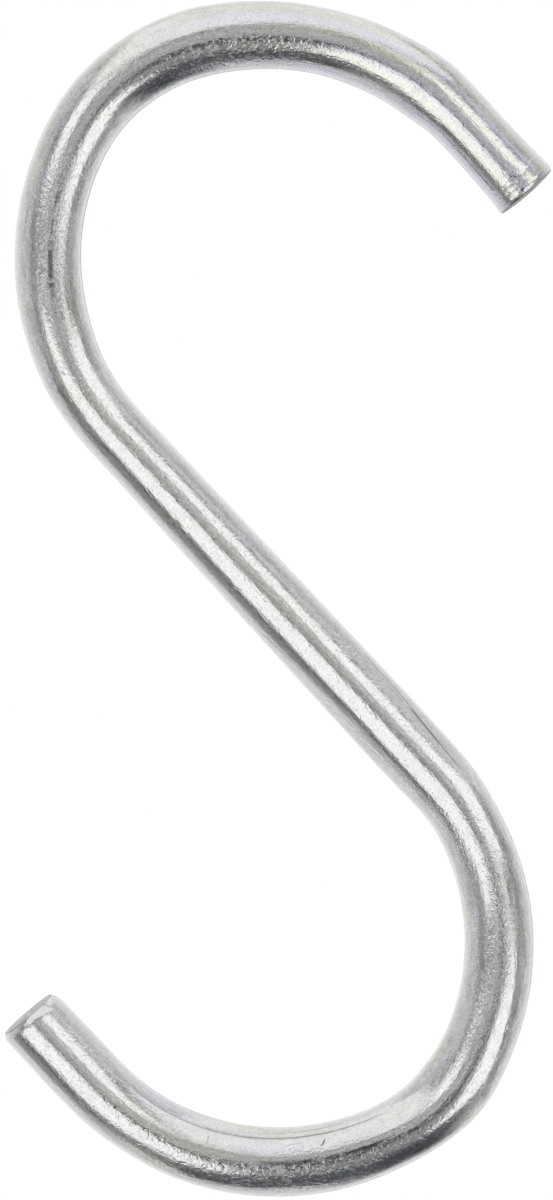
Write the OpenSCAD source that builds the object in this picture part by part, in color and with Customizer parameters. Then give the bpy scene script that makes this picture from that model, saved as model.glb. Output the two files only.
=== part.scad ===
// S hook: one length of round, zinc plated steel wire, bent cold into two open hooks and sheared at both ends.
// It hangs from the upper hook. The origin is the highest point of that hook's inside, where a rail bears.
// +X points to the upper hook's open side, +Z is up, and the wire's centre line lies in the XZ plane.

/* [Wire] */
// Diameter of the round wire
wire_d = 5.7; // [2:0.1:8]
// How much a wide bend thins the wire's radius, and a corner takes twice that
bend_thinning = 0.01; // [0.005:0.005:0.1]

/* [Upper hook] */
// Inside radius of the seat, the wide bend that hangs on the rail
upper_seat_r = 20.7; // [12:0.1:35]
// Angle of the seat from its highest point to the straight tip
upper_mouth_turn = 47.5; // [20:0.5:80]
// Angle of the seat from its highest point to the corner
upper_crest_turn = 10.5; // [1:0.5:40]
// Inside radius of the corner, the tighter bend between seat and heel
upper_corner_r = 13.5; // [6:0.1:30]
// Angle of the corner
upper_corner_turn = 54; // [10:0.5:90]
// Inside radius of the heel, the bend that runs into the shank
upper_heel_r = 19.1; // [8:0.1:35]
// Length of the straight tip, from the seat to the cut
upper_tip_len = 7.9; // [3:0.1:20]

/* [Shank] */
// Length of the straight shank between the two heels
shank_len = 39.4; // [10:0.1:80]
// Angle of the shank from the vertical
shank_lean = 42.8; // [25:0.1:65]

/* [Lower hook] */
// Inside radius of the heel, the bend that comes out of the shank
lower_heel_r = 18.5; // [8:0.1:35]
// Inside radius of the corner, the tighter bend between heel and seat
lower_corner_r = 11.3; // [6:0.1:30]
// Angle of the corner
lower_corner_turn = 32; // [10:0.5:70]
// Inside radius of the seat, the wide bend that carries the load
lower_seat_r = 18.8; // [12:0.1:35]
// Angle of the seat from the corner to its lowest point
lower_crest_turn = 30.5; // [1:0.5:50]
// Angle of the seat from its lowest point to the straight tip
lower_mouth_turn = 46.5; // [20:0.5:80]
// Length of the straight tip, from the seat to the cut
lower_tip_len = 8.5; // [3:0.1:20]

/* [Cut ends] */
// Length of the rolled edge at the upper cut
upper_roll_len = 0.5; // [0.2:0.1:1.5]
// How far the rolled edge draws in at the upper cut
upper_roll_depth = 0.12; // [0.05:0.01:0.5]
// Angle of the upper cut from square, set back on the hook's inner side
upper_cut_lean = 1; // [0.5:0.5:12]
// Angle of the upper cut from square, set back on the front
upper_cut_tilt = 3.5; // [0.5:0.5:12]
// Length of the rolled edge at the lower cut
lower_roll_len = 0.9; // [0.2:0.1:1.5]
// How far the rolled edge draws in at the lower cut
lower_roll_depth = 0.28; // [0.05:0.01:0.5]
// Angle of the lower cut from square, set back on the hook's inner side
lower_cut_lean = 3; // [0.5:0.5:12]
// Angle of the lower cut from square, set back on the front
lower_cut_tilt = 4; // [0.5:0.5:12]

/* [Hidden] */
$fn = 96;

wire_r = wire_d / 2;

// How far a bend runs on at both its ends, inside the thicker wire that it joins
lap = 0.05;

// Each heel turns through what is left between the level seat and the leaning shank
upper_heel_turn = 90 + shank_lean - upper_crest_turn - upper_corner_turn;
lower_heel_turn = 90 + shank_lean - lower_crest_turn - lower_corner_turn;

// The wire's bending schedule, from the upper tip to the lower one. Each step is
// [straight run, inside radius of the bend after it, angle of that bend with left positive, thinning there]
schedule = [
    [0, upper_seat_r, upper_mouth_turn + upper_crest_turn, bend_thinning],
    [0, upper_corner_r, upper_corner_turn, 2 * bend_thinning],
    [0, upper_heel_r, upper_heel_turn, bend_thinning],
    [shank_len, lower_heel_r, -lower_heel_turn, bend_thinning],
    [0, lower_corner_r, -lower_corner_turn, 2 * bend_thinning],
    [0, lower_seat_r, -(lower_crest_turn + lower_mouth_turn), bend_thinning],
];

// Radius of the upper seat along the middle of the wire
upper_seat_centre_r = upper_seat_r + wire_r - bend_thinning;

// Wire that sets out along +X and bends towards +Y, with a lap at both ends
module bend(inside_r, turn, thinning) {
    section_r = wire_r - thinning;
    centre_r = inside_r + section_r;
    lap_turn = lap / centre_r * 180 / PI;
    translate([0, centre_r, 0])
        rotate([0, 0, -90 - lap_turn])
            rotate_extrude(angle = turn + 2 * lap_turn)
                translate([centre_r, 0]) circle(r = section_r);
}

// Lays the steps of a schedule end to end from the origin, and places its children where they end, along +X
module lay(steps, at = 0) {
    if (at == len(steps)) {
        children();
    } else {
        run = steps[at][0];
        inside_r = steps[at][1];
        turn = steps[at][2];
        thinning = steps[at][3];
        side = sign(turn);
        centre = [0, side * (inside_r + wire_r - thinning), 0];
        if (run > 0) rotate([0, 90, 0]) cylinder(r = wire_r, h = run);
        translate([run, 0, 0]) {
            rotate([side < 0 ? 180 : 0, 0, 0]) bend(inside_r, abs(turn), thinning);
            translate(centre) rotate([0, 0, turn]) translate(-centre) lay(steps, at + 1) children();
        }
    }
}

// Half section of a straight tip, with its axis on the Y axis and the cut at the top.
// The rolled edge is an arc that leaves the wire's side smoothly and meets the cut at a corner.
module tip_section(run, roll_len, roll_depth) {
    roll_r = (roll_len * roll_len + roll_depth * roll_depth) / (2 * roll_depth);
    square([wire_r, run - roll_len]);
    square([wire_r - roll_depth, run]);
    intersection() {
        square([wire_r, run]);
        translate([wire_r - roll_r, run - roll_len]) circle(r = roll_r);
    }
}

// Straight tip along +X, with the hook's outer side towards +Y and its front towards +Z.
// The shear leans over the inner side and tilts over the front, and so cuts both a little shorter.
module tip(run, roll_len, roll_depth, lean, tilt) {
    difference() {
        rotate([0, 90, 0]) rotate_extrude() tip_section(run, roll_len, roll_depth);
        translate([run, wire_r, -wire_r])
            rotate([0, -tilt, -lean])
                translate([0, -1.5 * wire_d, -1.5 * wire_d])
                    cube([wire_d, 3 * wire_d, 3 * wire_d]);
    }
}

// The wire is drawn flat from its upper tip, turned until the upper seat is level, and then stood up
module s_hook() {
    color([0.74, 0.75, 0.76])
        rotate([90, 0, 0])
            translate([0, -upper_seat_r, 0])
                rotate([0, 0, -upper_mouth_turn])
                    translate([0, upper_seat_centre_r, 0]) {
                        tip(upper_tip_len, upper_roll_len, upper_roll_depth,
                            upper_cut_lean, upper_cut_tilt);
                        rotate([0, 0, 180])
                            lay(schedule)
                                tip(lower_tip_len, lower_roll_len, lower_roll_depth,
                                    lower_cut_lean, lower_cut_tilt);
                    }
}

s_hook();
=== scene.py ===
import math

import bpy
import numpy as np
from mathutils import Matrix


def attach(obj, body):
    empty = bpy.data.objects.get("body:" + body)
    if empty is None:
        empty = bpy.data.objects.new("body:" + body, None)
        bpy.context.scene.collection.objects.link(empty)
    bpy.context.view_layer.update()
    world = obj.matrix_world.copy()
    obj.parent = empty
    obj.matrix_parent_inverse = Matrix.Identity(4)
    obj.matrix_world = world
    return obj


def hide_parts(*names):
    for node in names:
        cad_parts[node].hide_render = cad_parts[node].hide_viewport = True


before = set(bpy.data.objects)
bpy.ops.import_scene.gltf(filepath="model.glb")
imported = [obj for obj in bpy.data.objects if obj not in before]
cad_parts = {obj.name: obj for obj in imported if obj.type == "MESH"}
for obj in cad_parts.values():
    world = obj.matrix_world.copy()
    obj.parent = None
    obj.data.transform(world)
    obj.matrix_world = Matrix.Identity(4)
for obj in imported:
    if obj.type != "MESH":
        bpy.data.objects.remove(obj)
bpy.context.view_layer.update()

MM = 0.001

# The wire's centre line in mm, from the upper cut to the lower one. It is the source's, with the
# lengths of the straight tips set a little closer.
WIRE_R = 2.85
UPPER_SEAT_R = 20.7
UPPER_MOUTH_TURN = 47.5
UPPER_TIP = 7.95
SHANK = 39.4
LOWER_TIP = 8.4
# How much a wide bend thins the wire's radius, and a corner takes twice that
THINNING = 0.01
# Each bend: inside radius in mm, angle in degrees (+ turns left on the way down), thinning in mm
UPPER_BENDS = [(UPPER_SEAT_R, 58.0, THINNING), (13.5, 54.0, 2 * THINNING), (19.1, 68.3, THINNING)]
LOWER_BENDS = [(18.5, -70.3, THINNING), (11.3, -32.0, 2 * THINNING), (18.8, -77.0, THINNING)]
# How far in mm the change from one bend to the next is spread, as in cold wire
BLEND = 1.6
# Spacing in mm of the places at which the centre line is worked out
PATH_STEP = 0.02

# The mesh: spacing of its rings in mm, their closer spacing by the cuts, and how far in mm that reaches
RING_STEP = 0.3
END_STEP = 0.07
END_ZONE = 1.9
# Points in a ring
SIDES = 128

# Where the bending tools left a sharper turn: place along the wire in mm, extra degrees, and the reach
# in mm over which the bend round it makes up for them
KINKS = [
    (12.0, 3.2, 4.0), (26.5, 1.4, 5.0), (42.5, 2.4, 4.0), (67.5, 5.0, 5.0), (116.0, -4.0, 4.0),
    (178.0, -2.0, 4.0),
]
# The reach in mm of the sharper turn itself
KINK_WIDTH = 1.1

# How much the wire is wider in the hook's plane than the round wire: place in mm, per cent
WIDTHS = [
    (0, 0), (3.5, -5), (7, -7), (10, -4.5), (12.2, 3), (16, 0), (22, -1.5), (27, 0), (33, 4), (38, 3),
    (43, 1), (49, -2), (56, -1.5), (61, -0.5), (67, -3), (73, -6), (80, -4), (87, -1.5), (95, 1.5),
    (103, 4), (108.5, 5.5), (112, 4), (117.5, -3), (121, -1), (127, 2), (135, 3), (139, 3.5),
    (141.5, 6), (144.5, 1.5), (148, -1.5), (154, 2.5), (160, 2), (165, 1), (170, -0.5), (178, 3),
    (184, 0.5),
]

# Where bending pressed the round wire oval, with the long axis slanting over the front: place in mm,
# share of the radius
OVALS = [
    (0, 0.02), (10, 0.01), (15, -0.015), (20, -0.025), (26, 0), (42, 0), (50, 0.03), (57, 0.018),
    (64, 0), (88, 0), (100, 0.01), (112, 0.015), (122, 0.015), (128, -0.01), (136, 0.036), (142, 0.065),
    (147, 0.028), (152, 0.002), (156, 0.006), (161, 0.045), (166, 0.062), (171, 0.025), (184, 0.018),
]
# Over how many rings the values of these two tables are evened out
EVENED_OVER = 13

# Where bending has roughened the plating: place along the wire and reach in mm, side and reach across,
# amount. In every table a side runs from -1, at the right edge on the way down the wire, to 1 at the
# left one.
WORKED = [
    (1.2, 1.5, 0.2, 0.36, 1.0), (30.0, 7.0, 0.45, 0.42, 1.0), (54.0, 7.0, 0.05, 0.55, 1.0),
    (124.0, 7.0, 0.18, 0.2, 1.0), (119.0, 5.0, -0.58, 0.18, 1.0), (135.0, 5.5, -0.36, 0.32, 1.0),
    (156.0, 9.0, 0.42, 0.42, 1.0), (174.0, 9.0, 0.4, 0.5, 0.32),
]

# Random soft unevenness: seed, size of its waves along and round the wire in mm, and height in mm. The
# shorter ones grow where the plating is roughened, and also hold how much of them there is elsewhere.
LONG_RIPPLE = (3, 9.0, 1.1, 0.0035)
SHORT_RIPPLES = [(4, 2.2, 0.9, 0.0022, 0.5), (5, 0.8, 0.6, 0.0012, 0.35)]
# The grid on which they are drawn: its step along the wire in mm, and its rows
RIPPLE_STEP = 0.25
RIPPLE_ROWS = 1024

# Random small dents: how many, how far in mm they keep from the cuts, and the ranges of their size in
# mm, of how many times as long as wide they are, and of their depth in mm
SMALL_DENTS = 150
DENTS_CLEAR = 3
DENT_SIZE = 0.22, 0.5
DENT_STRETCH = 1, 2.2
DENT_DEPTH = 0.003, 0.011

# Nicks of the tools on the front: place in mm, side, reach along and across in mm, depth in mm, and
# slant in mm round per mm along
NICKS = [
    (111.0, 0.77, 2.4, 0.2, 0.03, -0.12), (82.5, -0.57, 0.5, 0.25, 0.03, 0.6),
    (154.1, -0.47, 0.3, 0.35, 0.02, 0.3),
]
# Soft hollows that the tools pressed into the front, in the same terms, without a slant. A bulge has a
# depth below 0.
PRESSED = [
    (162.0, -0.71, 13.0, 0.16, 0.008), (154.0, -0.12, 9.0, 0.32, -0.04),
    (107.0, -0.86, 10.0, 0.9, 0.12), (138.0, -0.8, 4.5, 0.9, 0.09), (165.0, -0.93, 18.0, 0.8, 0.11),
    (111.0, 0.88, 6.0, 0.9, 0.11), (41.5, 0.86, 5.5, 1.3, 0.12), (27.5, 0.95, 4.5, 0.9, -0.12),
    (142.0, 0.97, 4.0, 0.8, -0.09), (165.0, 0.9, 6.0, 1.0, -0.12), (130.0, -0.2, 4.0, 1.3, 0.05),
    (124.0, -0.58, 6.0, 1.2, 0.1), (145.5, -0.45, 3.5, 1.0, 0.15), (136.5, -0.5, 2.0, 1.0, -0.07),
    (167.5, -0.55, 6.0, 1.1, 0.11),
]
# The step that the shear's jaws left round the upper tip, in the same terms
JAW_STEP = [(1.65, 0.15, 0.22, 1.7, 0.05), (1.0, 0.35, 0.18, 1.1, 0.03)]
# Slanted marks where the shear gripped the upper tip: place in mm, side, reach along in mm, slant, and
# depth in mm
GRIP_MARKS = [
    (1.1, 0.45, 0.35, 1.5, 0.02), (1.6, 0.52, 0.45, 1.8, 0.022), (2.2, 0.36, 0.4, 1.4, 0.018),
    (1.3, 0.18, 0.5, -0.9, 0.024), (1.9, 0.05, 0.45, 0.8, 0.026), (1.0, -0.1, 0.4, -1.2, 0.02),
    (1.5, -0.28, 0.35, 0.6, 0.022), (2.3, -0.12, 0.4, -0.7, 0.018), (2.9, 0.1, 0.4, 0.9, 0.014),
    (0.8, 0.3, 0.3, 0.4, 0.018), (2.7, 0.5, 0.5, 1.2, 0.014), (1.7, -0.45, 0.3, -0.8, 0.014),
]
# Their reach across in mm
GRIP_WIDTH = 0.16

# Dark scratches on the front, and painted dark reflection lines: the rows near side 0 between places 50 and
# 60, and at 152 and 157.6, are painted dark reflection lines along the wire's middle. Each row: place in mm
# and side of the middle, half length and half width in mm, slant in mm across per mm along, and strength
SCRATCHES_AND_DARK_REFLECTIONS = [
    (52.0, 0.07, 1.0, 0.08, 0.02, 0.55), (54.3, 0.08, 0.9, 0.09, 0.0, 0.5),
    (57.6, 0.08, 1.6, 0.19, 0.0, 0.75), (59.4, 0.07, 0.28, 0.25, 0.0, 0.7),
    (60.1, 0.07, 0.5, 0.18, 0.0, 0.35), (55.8, 0.1, 0.3, 0.28, 0.0, 0.3),
    (57.6, 0.13, 0.5, 0.07, 0.2, 0.4), (50.0, 0.02, 0.8, 0.07, 0.0, 0.4),
    (51.5, 0.13, 0.5, 0.07, -0.2, 0.4), (109.6, 0.79, 2.6, 0.06, -0.055, 0.7),
    (112.0, 0.74, 2.2, 0.05, -0.07, 0.5), (104.6, 0.88, 4.0, 0.04, -0.02, 0.25),
    (161.5, -0.72, 15.0, 0.04, 0.004, 0.5), (157.0, -0.88, 6.0, 0.04, 0.01, 0.25),
    (154.2, -0.47, 0.24, 0.12, 1.2, 0.8), (154.5, -0.41, 0.12, 0.06, -1.0, 0.5),
    (156.9, -0.53, 0.9, 0.05, 0.12, 0.22), (164.7, -0.40, 0.08, 0.35, 0.0, 0.3),
    (73.0, -0.62, 3.5, 0.06, 0.1, 0.35), (102.3, 0.56, 0.1, 0.09, 0.0, 0.35),
    (110.4, -0.34, 0.1, 0.08, 0.0, 0.3), (96.0, -0.86, 2.0, 0.05, 0.05, 0.35),
    (171.0, 0.12, 0.5, 0.06, 0.3, 0.45), (66.8, -0.30, 0.25, 0.12, 0.4, 0.45),
    (152.0, 0.03, 3.0, 0.16, 0.0, 0.5), (157.6, 0.03, 2.8, 0.17, 0.0, 0.5),
    (1.3, 0.42, 0.06, 0.5, 0.0, 0.35), (1.9, 0.3, 0.06, 0.6, 0.0, 0.3),
    (2.5, 0.38, 0.05, 0.4, 0.0, 0.2), (0.8, 0.0, 0.06, 0.5, 0.0, 0.3),
    (1.6, -0.1, 0.05, 0.5, 0.0, 0.25),
]

# The cuts: side of the hook's inside (1 left of travel, -1 right), lean over that side and tilt over
# the front in degrees, and how far the middle stands out past the sides, in mm
UPPER_CUT = (1, 1.0, 2.0, 0.15)
LOWER_CUT = (-1, 3.0, 4.0, 0.0)
# Over how many mm from a cut its lean, tilt and bulge die out in the rings
CUT_FADE = 3.0
# The rolled edges at the cuts in mm, with how much the depth or the length changes from the middle to
# the sides
UPPER_ROLL_LEN = 0.6
UPPER_ROLL_DEPTH = 0.17
UPPER_DEPTH_CHANGE = 0.05
LOWER_ROLL_LEN = 1.1
LOWER_LEN_CHANGE = 0.35
LOWER_ROLL_DEPTH = 0.34
ROLL_POWER = 2.2
# The flare on the inner side of the upper tip, in mm
FLARE_LEN = 1.6
FLARE_HEIGHT = 0.13

# The cut faces: rings from the rim to the middle as shares of the radius, how far in mm the first one
# and the others lie behind the rim, and the heights in mm of the face's waves and of its grain
CUT_RINGS = (0.975, 0.94, 0.88, 0.8, 0.7, 0.58, 0.45, 0.32, 0.2, 0.1, 0.0)
FIRST_RING_BACK = 0.03
RINGS_BACK = 0.045
FACE_WAVES = 0.02
FACE_GRAIN = 0.012
# Radians per mm of the waves in the hook's plane and across it, the share of the radius within which the
# grain lies, and how far in mm behind the rim the face's texture does
WAVES_IN_PLANE = 1.9
WAVES_ACROSS = 0.7
GRAINY_WITHIN = 0.9
TEXTURE_BACK = 0.1
# How much darker the colour is on a cut's first ring, at its rim, and on its others, how far in mm past the
# edge the darkening reaches, and how roughened the face counts as
RIM_DARK = 0.9
FACE_DARK = 0.45
RIM_DARK_REACH = 0.16
FACE_WORKED = 0.25


def running_sum(steps):
    """Sums of the steps so far, from 0 on."""
    return np.concatenate([[0], np.cumsum(steps)])


def middles(values):
    """Means of neighbouring values."""
    return (values[1:] + values[:-1]) / 2


def path():
    """Fine points of the centre line: distance along it, x, z and heading."""
    mouth = math.radians(UPPER_MOUTH_TURN)
    seat_r = UPPER_SEAT_R + WIRE_R - THINNING
    x0 = seat_r * math.sin(mouth) + UPPER_TIP * math.cos(mouth)
    z0 = seat_r * math.cos(mouth) - UPPER_SEAT_R - UPPER_TIP * math.sin(mouth)
    runs = [(UPPER_TIP, 0.0)]
    for group in (UPPER_BENDS, LOWER_BENDS):
        for inside_r, turn, thinning in group:
            centre_r = inside_r + WIRE_R - thinning
            runs.append((centre_r * math.radians(abs(turn)), math.copysign(1 / centre_r, turn)))
        runs.append((SHANK if group is UPPER_BENDS else LOWER_TIP, 0.0))
    total = sum(length for length, _ in runs)
    s = np.arange(0, total + PATH_STEP / 2, PATH_STEP)
    curvature = np.zeros_like(s)
    start = 0.0
    for length, bend in runs:
        curvature[(s >= start) & (s < start + length)] = bend
        start += length
    count = int(BLEND / PATH_STEP)
    blended = np.convolve(np.pad(curvature, count, mode="edge"), np.ones(count) / count, mode="same")
    curvature = blended[count:-count]
    for place, extra, reach in KINKS:
        sharp = np.exp(-(((s - place) / KINK_WIDTH) ** 2))
        wide = np.exp(-(((s - place) / reach) ** 2))
        curvature += math.radians(extra) * (sharp / sharp.sum() - wide / wide.sum()) / PATH_STEP
    heading = math.pi - mouth + running_sum(middles(curvature) * PATH_STEP)
    x = x0 + running_sum(np.cos(middles(heading)) * PATH_STEP)
    z = z0 + running_sum(np.sin(middles(heading)) * PATH_STEP)
    return s, x, z, heading


def evened(s, table):
    """Values at the places s out of a table of places and values, with its corners rounded off."""
    values = np.interp(s, *zip(*table))
    kernel = np.hanning(EVENED_OVER)
    return np.convolve(np.pad(values, EVENED_OVER // 2, mode="edge"), kernel / kernel.sum(), mode="valid")


def ripple(s, seed, along, around, height):
    """Random soft unevenness of the wire's surface; along and around are the sizes of its waves in mm."""
    noise = np.fft.rfft2(np.random.default_rng(seed).standard_normal((RIPPLE_ROWS, SIDES)))
    per_along = np.fft.fftfreq(RIPPLE_ROWS, RIPPLE_STEP)[:, None]
    per_around = np.fft.rfftfreq(SIDES, 2 * math.pi * WIRE_R / SIDES)[None, :]
    long, wide = math.pi * along / 2 * per_along, math.pi * around / 2 * per_around
    noise *= np.exp(-2 * long**2 - 2 * wide**2)
    field = np.fft.irfft2(noise, (RIPPLE_ROWS, SIDES))
    field *= height / field.std()
    at = s / RIPPLE_STEP
    low = np.floor(at).astype(int)
    part = (at - low)[:, None]
    return field[low] * (1 - part) + field[low + 1] * part


def dent(field, s, theta, place, angle, long, wide, depth, lean=0.0):
    """Presses a soft hollow into the surface, which leans by so many mm round the wire per mm along."""
    ds = s[:, None] - place
    across = (theta[None, :] - angle + math.pi) % (2 * math.pi) - math.pi
    across = across * WIRE_R - lean * ds
    field -= depth * np.exp(-((ds / long) ** 2) - (across / wide) ** 2)


def side(u):
    """Angle round the wire of a point on the front, at the side u."""
    return math.acos(u)


def roughened(s, cos_t):
    """How much bending has worked the plating, from 0 on."""
    worked = np.zeros((len(s), SIDES))
    for place, reach, u, across, amount in WORKED:
        worked += amount * np.exp(-((((s - place) / reach) ** 2)[:, None]) - ((cos_t - u) / across) ** 2)
    return worked


def unevenness(s, total, theta, worked):
    """How far the surface of the drawn, bent and plated wire stands out from a round one, in mm."""
    relief = ripple(s, *LONG_RIPPLE)
    relief += WIRE_R * evened(s, OVALS)[:, None] * 2 * np.sin(theta)[None, :] * np.cos(theta)[None, :]
    for *waves, elsewhere in SHORT_RIPPLES:
        relief += ripple(s, *waves) * (elsewhere + worked)
    rng = np.random.default_rng(11)
    for _ in range(SMALL_DENTS):
        place = rng.uniform(DENTS_CLEAR, total - DENTS_CLEAR)
        size = rng.uniform(*DENT_SIZE)
        angle = rng.uniform(0, 2 * math.pi)
        long = size * rng.uniform(*DENT_STRETCH)
        dent(relief, s, theta, place, angle, long, size, rng.uniform(*DENT_DEPTH))
    for place, u, *form in NICKS + PRESSED + JAW_STEP:
        dent(relief, s, theta, place, side(u), *form)
    for place, u, long, lean, depth in GRIP_MARKS:
        dent(relief, s, theta, place, side(u), long, GRIP_WIDTH, depth, lean)
    return relief


def rolled(t, length, depth):
    """How far a rolled edge draws in at the distance t from its cut."""
    return depth * np.clip(1 - t / length, 0, 1) ** ROLL_POWER


def setback(cos_part, sin_part, inner, lean, tilt, bulge):
    """How far a cut lies behind its foremost corner, for a point of the cross-section."""
    leaning = math.tan(math.radians(lean)) * (WIRE_R + inner * cos_part)
    tilting = math.tan(math.radians(tilt)) * (WIRE_R + sin_part)
    return leaning + tilting + bulge * (cos_part / WIRE_R) ** 2


def fading(t):
    """1 at a cut and 0 from the fade's length on, with an even change between."""
    share = np.clip(t / CUT_FADE, 0, 1)
    return 1 - share * share * (3 - 2 * share)


def cut_face(rim, base, centre, section, sign, cut, rng):
    """Rings that close a cut on its middle: their points, straightened places, how dark their colour is,
    and faces.

    The rim holds the indices of the cut's edge, and new points are counted from base. The centre holds the
    place along the wire, x, z and heading there. The sign is 1 at the upper cut and -1 at the lower one.
    """
    s, x, z, heading = centre
    points, places, darkness, faces = [], [], [], []
    last = rim
    for share in CUT_RINGS:
        first = share == CUT_RINGS[0]
        count = SIDES if share > 0 else 1
        a, b = (part[:count] * share for part in section)
        waves = FACE_WAVES * np.sin(WAVES_IN_PLANE * a + WAVES_ACROSS * b) * (1 - share)
        rough = waves + FACE_GRAIN * rng.standard_normal(count) * (share < GRAINY_WITHIN)
        off = sign * (setback(a, b, *cut) + (FIRST_RING_BACK if first else RINGS_BACK) + rough)
        ring_x = x - a * math.sin(heading) + off * math.cos(heading)
        ring_z = z + a * math.cos(heading) + off * math.sin(heading)
        points.append(np.stack([ring_x, -b, ring_z], -1))
        places.append(np.stack([np.full(count, s + sign * TEXTURE_BACK), a, b], -1))
        darkness.append(np.full(count, RIM_DARK if first else FACE_DARK))
        ring = base + np.arange(count)
        base += count
        if count > 1:
            corners = [last, ring, np.roll(ring, -1), np.roll(last, -1)]
        else:
            corners = [last, np.broadcast_to(ring, SIDES), np.roll(last, -1)]
        if sign < 0:
            corners = corners[:1] + corners[:0:-1]
        faces += np.stack(corners, -1).tolist()
        last = ring
    return np.concatenate(points), np.concatenate(places), np.concatenate(darkness), faces


def set_attribute(mesh, name, kind, field, values):
    attribute = mesh.attributes.new(name, kind, "POINT")
    attribute.data.foreach_set(field, values.astype(np.float32).ravel())


def wire_mesh():
    """The wire, with its straightened places and two marks that its material reads."""
    fine_s, fine_x, fine_z, fine_heading = path()
    total = fine_s[-1]
    ends = np.arange(0, END_ZONE, END_STEP)
    s = np.concatenate([ends, np.arange(END_ZONE, total - END_ZONE, RING_STEP), total - ends[::-1]])
    x, z, heading = (np.interp(s, fine_s, f) for f in (fine_x, fine_z, fine_heading))
    theta = np.arange(SIDES) * 2 * math.pi / SIDES
    cos_t, sin_t = np.cos(theta)[None, :], np.sin(theta)[None, :]
    worked = roughened(s, cos_t)

    # The section: a lies in the hook's plane, b points to the front, and t is the distance from a cut
    t_up, t_low = s[:, None], total - s[:, None]
    radius = WIRE_R + unevenness(s, total, theta, worked)
    radius = radius - rolled(t_up, UPPER_ROLL_LEN, UPPER_ROLL_DEPTH - UPPER_DEPTH_CHANGE * cos_t)
    radius = radius - rolled(t_low, LOWER_ROLL_LEN - LOWER_LEN_CHANGE * cos_t, LOWER_ROLL_DEPTH)
    # The flare grows from nothing on the hook's outer side to its full height on the inner one
    inner = 0.5 + 0.5 * cos_t
    radius = radius + FLARE_HEIGHT * np.clip(1 - t_up / FLARE_LEN, 0, 1) ** 2 * inner**2
    # Where the wire is wider than the round wire, only its sides stand out
    wider = evened(s, WIDTHS)[:, None] / 100
    a = radius * cos_t * (1 + wider * np.where(wider > 0, cos_t**4, 1))
    b = radius * sin_t

    # The rings along the wire, set back at the cuts
    shift = setback(a, b, *UPPER_CUT) * fading(t_up) - setback(a, b, *LOWER_CUT) * fading(t_low)
    cos_h, sin_h = np.cos(heading)[:, None], np.sin(heading)[:, None]
    px = x[:, None] - a * sin_h + shift * cos_h
    pz = z[:, None] + a * cos_h + shift * sin_h
    verts = [np.stack([px, -b, pz], -1).reshape(-1, 3)]
    straight = np.broadcast_arrays(s[:, None], WIRE_R * cos_t, WIRE_R * sin_t)
    straight = [np.stack(straight, -1).reshape(-1, 3)]
    # The cuts' rims and a narrow band past them are marked for a darker colour
    edge = np.maximum(1 - t_up / RIM_DARK_REACH, 1 - t_low / RIM_DARK_REACH).clip(0, 1)
    darkness = [np.broadcast_to(edge, a.shape).reshape(-1)]
    index = np.arange(a.size).reshape(a.shape)
    beside = np.roll(index, -1, axis=1)
    faces = np.stack([index[:-1], beside[:-1], beside[1:], index[1:]], -1).reshape(-1, 4).tolist()

    rng = np.random.default_rng(21)
    for row, sign, cut in ((0, 1, UPPER_CUT), (-1, -1, LOWER_CUT)):
        base = sum(len(points) for points in verts)
        centre = s[row], x[row], z[row], heading[row]
        section = a[row], b[row]
        points, places, ring_darkness, more = cut_face(index[row], base, centre, section, sign, cut, rng)
        verts.append(points)
        straight.append(places)
        darkness.append(ring_darkness)
        faces += more
    verts = np.concatenate(verts) * MM
    face_worked = np.full(len(verts) - worked.size, FACE_WORKED)

    mesh = bpy.data.meshes.new("wire")
    mesh.from_pydata(verts.tolist(), [], faces)
    set_attribute(mesh, "straightened", "FLOAT_VECTOR", "vector", np.concatenate(straight))
    set_attribute(mesh, "cut", "FLOAT", "value", np.concatenate(darkness))
    set_attribute(mesh, "worked", "FLOAT", "value", np.concatenate([worked.reshape(-1), face_worked]))
    mesh.polygons.foreach_set("use_smooth", [True] * len(mesh.polygons))
    mesh.validate()
    mesh.update()
    return mesh


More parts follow.
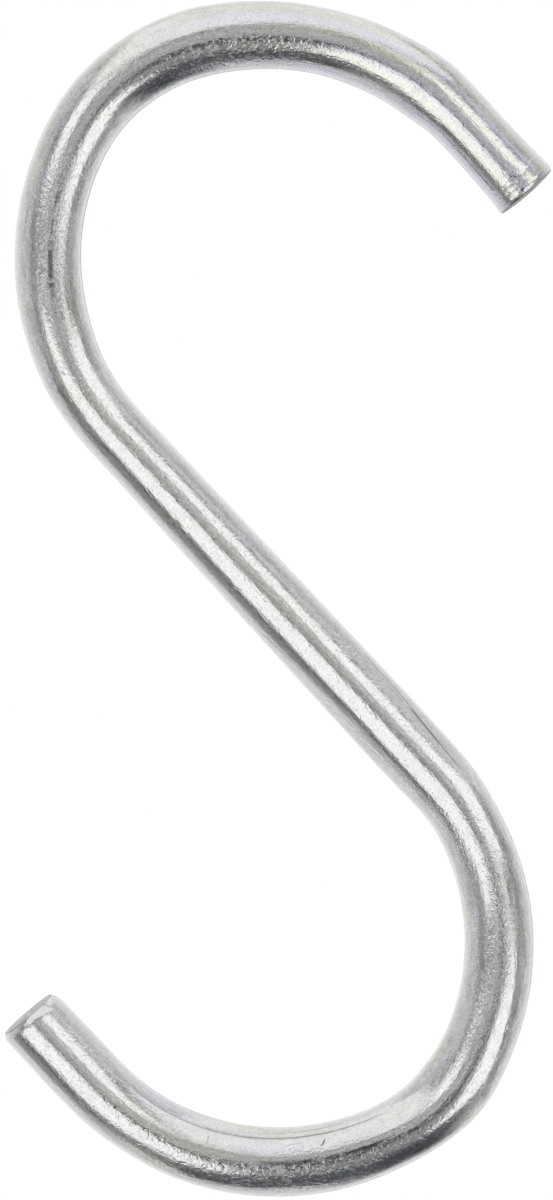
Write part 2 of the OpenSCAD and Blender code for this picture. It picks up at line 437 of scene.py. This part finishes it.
class Nodes:
    """Short forms for building a node tree."""

    def __init__(self, tree):
        self.tree = tree
        tree.nodes.clear()

    def add(self, kind, **settings):
        node = self.tree.nodes.new(kind)
        for key, value in settings.items():
            setattr(node, key, value)
        return node

    def put(self, socket, value):
        """Links a socket to another one's value, or sets it."""
        if isinstance(value, bpy.types.NodeSocket):
            self.tree.links.new(value, socket)
        else:
            socket.default_value = value

    def split(self, vector):
        node = self.add("ShaderNodeSeparateXYZ")
        self.put(node.inputs[0], vector)
        return node.outputs

    def math(self, operation, a, b=0.0):
        node = self.add("ShaderNodeMath", operation=operation)
        self.put(node.inputs[0], a)
        self.put(node.inputs[1], b)
        return node.outputs[0]

    def vector(self, operation, a, b=(0.0, 0.0, 0.0)):
        node = self.add("ShaderNodeVectorMath", operation=operation)
        self.put(node.inputs[0], a)
        self.put(node.inputs[1], b)
        return node.outputs["Vector"]

    def ramp(self, value, low, high, to_low=0.0, to_high=1.0):
        """Runs softly from to_low to to_high while the value goes from low to high."""
        node = self.add("ShaderNodeMapRange", interpolation_type="SMOOTHSTEP")
        for socket, v in zip(node.inputs[:5], (value, low, high, to_low, to_high)):
            self.put(socket, v)
        return node.outputs[0]

    def fall(self, value, low, high, start=1.0):
        """Runs softly from the start to 0 while the value goes from low to high."""
        return self.ramp(value, low, high, start, 0.0)

    def mix(self, factor, a, b):
        """Mixes two numbers."""
        node = self.add("ShaderNodeMix", data_type="FLOAT")
        for name, v in (("Factor", factor), ("A", a), ("B", b)):
            self.put(node.inputs[name], v)
        return node.outputs[0]

    def mix_colour(self, factor, a, b):
        node = self.add("ShaderNodeMix", data_type="RGBA")
        self.put(node.inputs[0], factor)
        self.put(node.inputs[6], a)
        self.put(node.inputs[7], b)
        return node.outputs[2]

    def noise(self, vector, scale, detail=2.0, roughness=0.5):
        node = self.add("ShaderNodeTexNoise")
        for name, v in (("Vector", vector), ("Scale", scale), ("Detail", detail), ("Roughness", roughness)):
            self.put(node.inputs[name], v)
        return node.outputs[0]

    def grains(self, place, along, across, detail=2.0, roughness=0.5):
        """Noise with so many grains per mm along the wire and across it."""
        squeezed = self.vector("MULTIPLY", place, (along, across, across))
        return self.noise(squeezed, 1.0, detail, roughness)

    def bump(self, height, strength, distance, normal=None):
        node = self.add("ShaderNodeBump")
        self.put(node.inputs["Strength"], strength)
        self.put(node.inputs["Distance"], distance)
        self.put(node.inputs["Height"], height)
        if normal is not None:
            self.put(node.inputs["Normal"], normal)
        return node.outputs[0]


def new_material(name):
    """An empty material, the short forms for its node tree and the socket that takes its shader."""
    material = bpy.data.materials.new(name)
    material.use_nodes = True
    n = Nodes(material.node_tree)
    return material, n, n.add("ShaderNodeOutputMaterial").inputs["Surface"]


# Colours of the plating: its two tints and its duller spots, its dark specks and flecks, the scratches in
# it together with painted dark reflection lines, and the darker colour of the cuts
ZINC_BLUE = (0.84, 0.845, 0.86, 1)
ZINC_YELLOW = (0.85, 0.855, 0.83, 1)
ZINC_DULL = (0.75, 0.75, 0.75, 1)
SPECK = (0.42, 0.42, 0.44, 1)
FLECK = (0.42, 0.42, 0.42, 1)
SCRATCH_AND_REFLECTION_DARK = (0.12, 0.12, 0.12, 1)
CUT_DARK = (0.28, 0.28, 0.28, 1)
# Tint bands of the passivation by the upper tip: their colours, bands per mm across the wire, how that
# changes per mm, and the places along the wire in mm between which they fade
BAND_BLUE = (0.80, 0.80, 0.90, 1)
BAND_YELLOW = (0.865, 0.885, 0.79, 1)
BANDS = 0.533
BANDS_CHANGE = -0.051
BANDS_FADE = 12.0, 44.0
# How far the darker colour covers a cut, and what a cut adds to the roughness
CUT_DARK_COVERS = 0.75
CUT_ROUGHER = 0.25
# Roughness of the plating in its brightest and dullest patches, and what its crystals add to that where
# bending left it alone and where it roughened it
PATCHES = 0.09, 0.14
CRYSTALS = 0.03, 0.34
# Heights of the grain, the coarse grain and the pits, where bending left the plating alone and where it
# roughened it
GRAIN = 1.0, 2.1
COARSE = 0.0, 3.04
PITS = 0.4, 0.9
# Depth in metres of the bumps of the grain and of the draw lines, and their strengths
GRAIN_DEPTH = 0.000015
LINE_DEPTH = 0.00001
GRAIN_STRENGTH = 1.0
LINE_STRENGTH = 0.4


def scratches_and_reflections(n, along, left, front):
    """How dark the scratches and the painted dark reflection lines are, on the front alone."""
    dark = 0.0
    for place, u, half, width, slant, strength in SCRATCHES_AND_DARK_REFLECTIONS:
        ds = n.math("SUBTRACT", along, place)
        off = n.math("SUBTRACT", n.math("SUBTRACT", left, u * WIRE_R), n.math("MULTIPLY", ds, slant))
        line = n.fall(n.math("ABSOLUTE", off), width * 0.5, width * 1.5, strength)
        line = n.math("MULTIPLY", line, n.fall(n.math("ABSOLUTE", ds), half * 0.6, half))
        dark = n.math("MAXIMUM", line, dark)
    return n.math("MULTIPLY", dark, n.ramp(front, 0.0, 0.1))


def zinc_colour(n, place, cut):
    """Faint tints, tint bands, duller spots, specks, flecks, scratches and painted dark reflection lines,
    and a darker colour at the cuts.
    """
    along, left, front = n.split(place)
    tint = n.ramp(n.grains(place, along=0.12, across=0.55, detail=3.0), 0.38, 0.62)
    colour = n.mix_colour(tint, ZINC_BLUE, ZINC_YELLOW)
    turns = n.math("MULTIPLY", left, n.math("ADD", BANDS, n.math("MULTIPLY", left, BANDS_CHANGE)))
    bands = n.math("COSINE", n.math("MULTIPLY", turns, 2 * math.pi))
    bands = n.math("MULTIPLY", bands, n.fall(along, *BANDS_FADE))
    colour = n.mix_colour(n.math("MAXIMUM", bands, 0.0), colour, BAND_BLUE)
    colour = n.mix_colour(n.math("MAXIMUM", n.math("MULTIPLY", bands, -1.0), 0.0), colour, BAND_YELLOW)
    dull = n.ramp(n.grains(place, along=1.2, across=1.6, detail=3.0), 0.35, 0.65, to_high=0.5)
    colour = n.mix_colour(dull, colour, ZINC_DULL)
    speck = n.fall(n.grains(place, along=4.2, across=4.2, roughness=0.7), 0.32, 0.5, start=0.30)
    colour = n.mix_colour(speck, colour, SPECK)
    fleck = n.fall(n.grains(place, along=5.6, across=7.0, detail=1.0), 0.35, 0.65, start=0.16)
    colour = n.mix_colour(fleck, colour, FLECK)
    # Scratches, and dark reflection lines painted along the wire's middle
    colour = n.mix_colour(scratches_and_reflections(n, along, left, front), colour, SCRATCH_AND_REFLECTION_DARK)
    # The cuts are coloured darker, most on the rim and the band past it, less on the face
    return n.mix_colour(n.math("MULTIPLY", cut, CUT_DARK_COVERS), colour, CUT_DARK)


def zinc_roughness(n, place, cut, worked):
    """Bright plating in soft patches, with duller crystals where bending worked it."""
    rough = n.ramp(n.grains(place, along=0.35, across=0.8, detail=4.0), 0.3, 0.7, *PATCHES)
    crystal = n.ramp(n.grains(place, along=2.72, across=3.4, roughness=0.6), 0.5, 0.62)
    rough = n.math("ADD", rough, n.math("MULTIPLY", crystal, n.mix(worked, *CRYSTALS)))
    return n.math("ADD", rough, n.math("MULTIPLY", cut, CUT_ROUGHER))


def zinc_normal(n, place, worked):
    """Draw lines, and a fine grain that is coarser and pitted where bending worked the plating."""
    drawn = n.grains(place, along=1.15, across=5.52, roughness=0.6)
    crushed = n.grains(place, along=2.76, across=4.6, roughness=0.6)
    coarse = n.grains(place, along=1.44, across=2.4, roughness=0.7)
    pits = n.ramp(n.grains(place, along=2.48, across=3.1, detail=1.0), 0.56, 0.70)
    lines = n.grains(place, along=0.10, across=3.2)
    # The drawn grain is crushed all over where the plating is worked by half
    grain = n.mix(n.math("MULTIPLY", worked, 2.0), drawn, crushed)
    grain = n.math("MULTIPLY", grain, n.mix(worked, *GRAIN))
    grain = n.math("ADD", grain, n.math("MULTIPLY", coarse, n.mix(worked, *COARSE)))
    grain = n.math("SUBTRACT", grain, n.math("MULTIPLY", pits, n.mix(worked, *PITS)))
    return n.bump(grain, GRAIN_STRENGTH, GRAIN_DEPTH, n.bump(lines, LINE_STRENGTH, LINE_DEPTH))


def zinc():
    """Bright zinc plating on drawn wire."""
    material, n, surface = new_material("zinc_plating")
    place = n.add("ShaderNodeAttribute", attribute_name="straightened").outputs["Vector"]
    cut = n.add("ShaderNodeAttribute", attribute_name="cut").outputs["Fac"]
    worked = n.add("ShaderNodeAttribute", attribute_name="worked").outputs["Fac"]
    shader = n.add("ShaderNodeBsdfPrincipled")
    shader.inputs["Metallic"].default_value = 1.0
    n.put(shader.inputs["Base Color"], zinc_colour(n, place, cut))
    n.put(shader.inputs["Roughness"], zinc_roughness(n, place, cut, worked))
    n.put(shader.inputs["Normal"], zinc_normal(n, place, worked))
    n.put(surface, shader.outputs[0])
    return material


# The studio that the metal mirrors: a sphere, with its radius in metres, and a plain wall on it, whose
# brightness changes between two angles in degrees from straight ahead of the hook
TENT_R = 3.0
WALL_FRONT = 0.62
WALL_BACK = 1.0
WALL_CHANGE = 90, 170
# A dark spot behind the hook, which the wire's very edges mirror: brightness, x and z of its direction
# from the hook, and the squares of the distances from there over which it ends
REAR_DARK = 0.22
REAR_X = 0.07
REAR_Z = -0.05
REAR_EDGE = 0.01, 0.12
# Zones of other brightness and soft boxes on the wall, in degrees from straight ahead of the hook, where
# the camera stands: middle to the right and up, width, height, turn, soft edge, and brightness, of which
# 1 is white
ZONES = [
    (10, -9, 170, 110, 0, 24, 0.39),
    (-52, -52, 52, 40, 0, 20, 0.26),
    (6, 18, 34, 36, 0, 18, 0.50),
    (-18, 2, 28, 14, 0, 10, 0.50),
    (58, 58, 40, 40, 0, 24, 0.56),
    (50, 1, 44, 14, 0, 8, 0.55),
    (-2, 84, 104, 76, 12, 7, 0.97),
    (-12, 44, 28, 18, 12, 6, 0.97),
    (16, 43, 30, 12, -22, 6, 0.82),
    (0, 100, 70, 40, 0, 20, 0.88),
    (10, -57, 66, 62, 0, 24, 0.18),
    (40, -82, 52, 60, 28, 34, 0.08),
    (-4, -76, 52, 30, 0, 16, 0.10),
    (2, -13, 14, 21, 0, 7, 0.06),
    (9, -34, 18, 20, 0, 10, 0.33),
]
BOXES = [
    (-36.6, 23.5, 28, 22, -14, 5, 1.14),
    (41, 26, 44, 26, 14, 5, 1.14),
    (-25, -26, 40, 41, 0, 5, 1.14),
    (43, -22, 40, 38, 10, 5, 1.14),
    (44, 4, 7, 26, 0, 4, 0.95),
]
# Clutter in the studio's darker parts: how dense it is, how it darkens and brightens them, and the
# brightness over which most of it fades
CLUTTER_DENSITY = 22.0
CLUTTER = 0.15, 1.85
CLUTTER_FADE = 0.5, 0.85
# Tones of the studio: a cool and a warm off-white, the cool one of its darkest parts, and the soft
# boxes' white
COOL_WHITE = (0.975, 0.98, 1.015, 1)
WARM_WHITE = (1.0, 1.015, 0.955, 1)
COOL_DARK = (0.93, 0.98, 1.09, 1)
BOX_WHITE = (1, 1, 1, 1)


def panel(n, value, right, up, shape):
    """Lays a soft-edged rectangle of the shape's brightness over the value."""
    cx, cy, width, height, turn, soft, level = shape
    cosine, sine = math.cos(math.radians(turn)), math.sin(math.radians(turn))
    dx, dy = n.math("SUBTRACT", right, cx), n.math("SUBTRACT", up, cy)
    px = n.math("ADD", n.math("MULTIPLY", dx, cosine), n.math("MULTIPLY", dy, sine))
    py = n.math("SUBTRACT", n.math("MULTIPLY", dy, cosine), n.math("MULTIPLY", dx, sine))
    inside = []
    for p, size in ((px, width), (py, height)):
        inside.append(n.fall(n.math("ABSOLUTE", p), (size - soft) / 2, (size + soft) / 2))
    return n.mix(n.math("MULTIPLY", *inside), value, level)


def tent_brightness(n, direction, right, up, off_axis):
    """The wall with its dark spot and zones, some clutter in what is dark, and the soft boxes."""
    x, y, z = n.split(direction)
    value = n.ramp(off_axis, *WALL_CHANGE, WALL_FRONT, WALL_BACK)
    off_x = n.math("POWER", n.math("SUBTRACT", x, REAR_X), 2)
    off_z = n.math("POWER", n.math("SUBTRACT", z, REAR_Z), 2)
    rear = n.fall(n.math("ADD", off_x, off_z), *REAR_EDGE)
    rear = n.math("MULTIPLY", rear, n.math("GREATER_THAN", y, 0.0))
    value = n.mix(rear, value, REAR_DARK)
    for shape in ZONES:
        value = panel(n, value, right, up, shape)
    clutter = n.ramp(n.noise(direction, CLUTTER_DENSITY), 0.36, 0.64, *CLUTTER)
    cluttered = n.ramp(value, *CLUTTER_FADE, 1.0, 0.1)
    value = n.math("MULTIPLY", value, n.mix(cluttered, 1.0, clutter))
    for shape in BOXES:
        value = panel(n, value, right, up, shape)
    return value


def tent_tone(n, direction, right, value):
    """Cool and warm off-white patches, darkest parts warm on the far left alone, white soft boxes."""
    patches = n.ramp(n.noise(direction, 3.2, detail=1.0), 0.42, 0.58)
    off_white = n.mix_colour(patches, COOL_WHITE, WARM_WHITE)
    dark_tone = n.mix_colour(n.ramp(right, -30, -5), WARM_WHITE, COOL_DARK)
    tone = n.mix_colour(n.fall(value, 0.12, 0.32), off_white, dark_tone)
    return n.mix_colour(n.ramp(value, 0.9, 1.05), tone, BOX_WHITE)


def tent_material():
    """The studio's light, by its direction from the hook."""
    material, n, surface = new_material("light_tent")
    direction = n.vector("NORMALIZE", n.add("ShaderNodeTexCoord").outputs["Object"])
    x, y, z = n.split(direction)
    off_axis = n.math("MULTIPLY", n.math("ARCCOSINE", n.math("MULTIPLY", y, -1.0)), 180 / math.pi)
    across = n.math("SQRT", n.math("ADD", n.math("MULTIPLY", x, x), n.math("MULTIPLY", z, z)))
    scale = n.math("DIVIDE", off_axis, n.math("MAXIMUM", across, 0.0001))
    right, up = n.math("MULTIPLY", x, scale), n.math("MULTIPLY", z, scale)
    value = tent_brightness(n, direction, right, up, off_axis)
    light = n.add("ShaderNodeEmission")
    n.put(light.inputs["Strength"], value)
    n.put(light.inputs["Color"], tent_tone(n, direction, right, value))
    n.put(surface, light.outputs[0])
    material.cycles.emission_sampling = "NONE"
    return material


FLOOR_WHITE = (0.96, 0.96, 0.96, 1)


def floor_material():
    """Pale from above and clear from below, so that views from underneath show the hook."""
    material, n, surface = new_material("pale_floor")
    pale = n.add("ShaderNodeBsdfDiffuse")
    pale.inputs["Color"].default_value = FLOOR_WHITE
    clear = n.add("ShaderNodeBsdfTransparent")
    both = n.add("ShaderNodeMixShader")
    n.put(both.inputs[0], n.add("ShaderNodeNewGeometry").outputs["Backfacing"])
    n.put(both.inputs[1], pale.outputs[0])
    n.put(both.inputs[2], clear.outputs[0])
    n.put(surface, both.outputs[0])
    return material


def link(name, data):
    obj = bpy.data.objects.new(name, data)
    bpy.context.scene.collection.objects.link(obj)
    return obj


wire = link("wire", wire_mesh())
wire.data.materials.append(zinc())
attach(wire, "root")
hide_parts("s_hook")

# The photograph's frame: its middle and height in the hook's plane, and how far back the camera stands,
# in metres
VIEW_X, VIEW_Z = 1.229 * MM, -45.137 * MM
VIEW_HEIGHT = 101.855 * MM
CAMERA_BACK = 2.0
# Height and radius of the floor in metres
FLOOR_Z = -0.156
FLOOR_R = 1.0

# The floor takes the hook's shadow. Glossy rays miss it, since it would cover the lower soft boxes.
bpy.ops.mesh.primitive_circle_add(vertices=96, radius=FLOOR_R, fill_type="NGON", location=(0, 0, FLOOR_Z))
floor = bpy.context.active_object
floor.name = "floor"
floor.data.materials.append(floor_material())
floor.visible_glossy = False

# Only glossy rays see the studio's sphere
tent_at = (VIEW_X, 0, VIEW_Z)
bpy.ops.mesh.primitive_uv_sphere_add(segments=64, ring_count=32, radius=TENT_R, location=tent_at)
tent = bpy.context.active_object
tent.name = "light_tent"
tent.data.materials.append(tent_material())
for ray in ("camera", "diffuse", "transmission", "volume_scatter", "shadow"):
    setattr(tent, f"visible_{ray}", False)

world = bpy.data.worlds.new("white")
world.use_nodes = True
world.node_tree.nodes["Background"].inputs["Color"].default_value = (1, 1, 1, 1)
world.node_tree.nodes["Background"].inputs["Strength"].default_value = 1.0
bpy.context.scene.world = world

camera_data = bpy.data.cameras.new("camera")
camera_data.lens = camera_data.sensor_width * CAMERA_BACK / VIEW_HEIGHT
camera_data.clip_end = 100
camera = link("camera", camera_data)
camera.location = (VIEW_X, -CAMERA_BACK, VIEW_Z)
camera.rotation_euler = (math.pi / 2, 0, 0)
bpy.context.scene.camera = camera
bpy.context.scene.view_settings.view_transform = "Standard"
